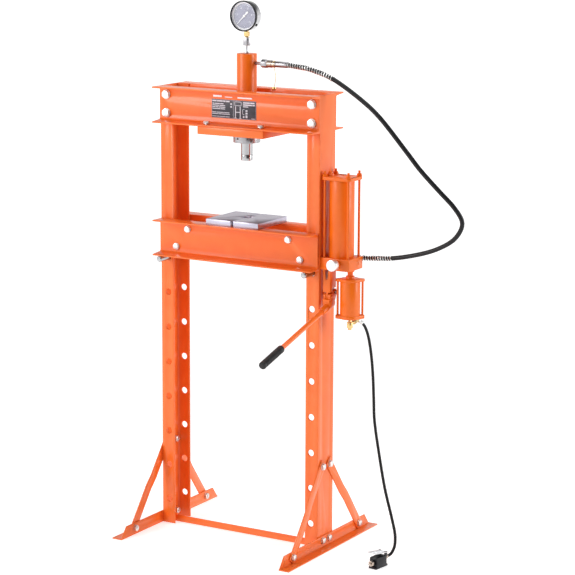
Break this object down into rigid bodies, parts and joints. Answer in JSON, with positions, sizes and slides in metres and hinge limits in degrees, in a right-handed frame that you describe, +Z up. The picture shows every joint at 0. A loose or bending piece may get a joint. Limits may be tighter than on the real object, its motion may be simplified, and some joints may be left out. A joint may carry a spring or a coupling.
{
  "type": "hydraulic shop press",
  "caption": "Floor-standing H-frame hydraulic shop press with a pinned height-adjustable bed, bottom stroke ram, pressure gauge, side pump worked by hand or air, and a foot valve.",
  "frame": {"origin": "on the floor, at the middle of the footprint of the frame, pump and handle (the hoses and the foot valve are not counted)", "axes": "+Z up, -Y towards the person working at the press, +X to the operator's right, where the pump hangs"},
  "size_m": [1.1175, 0.7484, 1.788],
  "materials": {
    "orange_paint": "gloss powder coat",
    "zinc_plate": "zinc plated",
    "bright_steel": "ground and plated",
    "dark_steel": "machined, oiled",
    "brass": "machined",
    "case_chrome": "polished",
    "black_paint": "satin",
    "lens_glass": "clear",
    "dial_face": "matt",
    "needle_white": "matt",
    "hose_rubber": "smooth",
    "grip_rubber": "ribbed",
    "tread_aluminium": "ribbed",
    "plate_print": "satin"
  },
  "bodies": {
    "frame": {"post_left": "orange_paint", "post_right": "orange_paint", "head_beam_front": "orange_paint", "head_beam_rear": "orange_paint", "head_bolts": "zinc_plate", "foot_left": "orange_paint", "foot_right": "orange_paint", "brace_left_front": "orange_paint", "brace_left_rear": "orange_paint", "brace_right_front": "orange_paint", "brace_right_rear": "orange_paint", "cross_bar": "orange_paint", "base_bolts": "zinc_plate", "data_plate": "plate_print", "cylinder_plate": "orange_paint", "plate_bolts": "zinc_plate", "cylinder_tube": "orange_paint", "lock_ring": "bright_steel", "gauge_case": "case_chrome", "gauge_bezel": "black_paint", "gauge_lens": "lens_glass", "gauge_dial": "dial_face", "gauge_stem": "brass", "gauge_adapter": "zinc_plate", "hose_coupler": "zinc_plate", "coupler_sleeve": "brass", "dust_cap": "brass", "hydraulic_hose": "hose_rubber", "hose_guards": "bright_steel", "pump_elbow": "zinc_plate", "pump_base": "orange_paint", "pump_bolts": "zinc_plate", "pump_reservoir": "orange_paint", "pump_cap": "orange_paint", "pump_tie_rods": "orange_paint", "pump_link": "orange_paint", "motor_barrel": "orange_paint", "motor_ends": "orange_paint", "air_elbow": "brass", "air_hose": "hose_rubber", "pedal_body": "black_paint", "pedal_fittings": "brass"},
    "ram": {"ram_piston": "bright_steel", "ram_rod": "bright_steel", "ram_nose": "bright_steel"},
    "gauge_needle": {"gauge_needle": "needle_white"},
    "bed": {"bed_channel_front": "orange_paint", "bed_channel_rear": "orange_paint", "bed_spacers": "orange_paint", "bed_bolts": "zinc_plate"},
    "bed_pin_left": {"bed_pin_left": "bright_steel"},
    "bed_pin_right": {"bed_pin_right": "bright_steel"},
    "arbor_plate_left": {"arbor_plate_left": "dark_steel"},
    "arbor_plate_right": {"arbor_plate_right": "dark_steel"},
    "release_knob": {"release_knob": "case_chrome"},
    "handle": {"handle_socket": "orange_paint", "handle_bar": "orange_paint", "handle_grip": "grip_rubber"},
    "plunger": {"pump_plunger": "bright_steel"},
    "pedal_tread": {"pedal_tread": "tread_aluminium"}
  },
  "joints": [
    {"name": "ram_slide", "type": "slide", "parent": "frame", "child": "ram", "axis": [0, 0, -1], "range_m": [0, 0.18]},
    {"name": "needle_turn", "type": "hinge", "parent": "frame", "child": "gauge_needle", "pos_m": [-0.04532, 0.05819, 1.738], "axis": [0, 1, 0], "range_deg": [0, 270], "stiffness_Nm_per_rad": 0.002, "springref_deg": -17.19},
    {"name": "bed_height", "type": "slide", "parent": "frame", "child": "bed", "axis": [0, 0, 1], "range_m": [-0.72, 0]},
    {"name": "left_pin_slide", "type": "slide", "parent": "bed", "child": "bed_pin_left", "axis": [0, -1, 0], "range_m": [0, 0.23]},
    {"name": "right_pin_slide", "type": "slide", "parent": "bed", "child": "bed_pin_right", "axis": [0, -1, 0], "range_m": [0, 0.23]},
    {"name": "left_plate_slide", "type": "slide", "parent": "bed", "child": "arbor_plate_left", "axis": [-1, 0, 0], "range_m": [0, 0.09]},
    {"name": "right_plate_slide", "type": "slide", "parent": "bed", "child": "arbor_plate_right", "axis": [1, 0, 0], "range_m": [0, 0.09]},
    {"name": "release_turn", "type": "hinge", "parent": "frame", "child": "release_knob", "pos_m": [0.32168, -0.00081, 0.963], "axis": [0, -1, 0], "range_deg": [0, 270]},
    {"name": "handle_swing", "type": "hinge", "parent": "frame", "child": "handle", "pos_m": [0.28268, 0.0412, 0.852], "axis": [-1, 0, 0], "range_deg": [0, 45]},
    {"name": "plunger_slide", "type": "slide", "parent": "frame", "child": "plunger", "axis": [0, 0, -1], "range_m": [0, 0.0215]},
    {"name": "tread_press", "type": "hinge", "parent": "frame", "child": "pedal_tread", "pos_m": [0.51502, -0.00004, 0.0426], "axis": [0.9903, -0.1392, 0], "range_deg": [0, 8], "stiffness_Nm_per_rad": 1, "springref_deg": -20.05}
  ],
  "couplings": [
    {"joint": "plunger_slide", "follows": "handle_swing", "m_per_rad": 0.027286}
  ]
}
